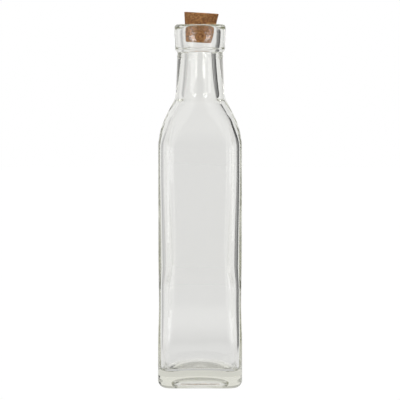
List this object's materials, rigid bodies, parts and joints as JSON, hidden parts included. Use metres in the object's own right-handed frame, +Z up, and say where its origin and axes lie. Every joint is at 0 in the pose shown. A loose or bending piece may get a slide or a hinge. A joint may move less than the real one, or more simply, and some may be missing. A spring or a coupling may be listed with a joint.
{
  "type": "oil and vinegar cruet",
  "caption": "Tall square bottle of clear glass with a sloping shoulder, round neck and thick collar, empty, with a tapered cork set loosely in its mouth.",
  "frame": {"origin": "on the table under the middle of the bottle", "axes": "+Z up along the bottle; the face that the picture shows looks towards -Y"},
  "size_m": [0.0598, 0.0598, 0.2666],
  "materials": {
    "clear_glass": "smooth, polished",
    "natural_cork": "dry, grainy"
  },
  "bodies": {
    "root": {"bottle": "clear_glass", "cork": "natural_cork"}
  },
  "joints": []
}
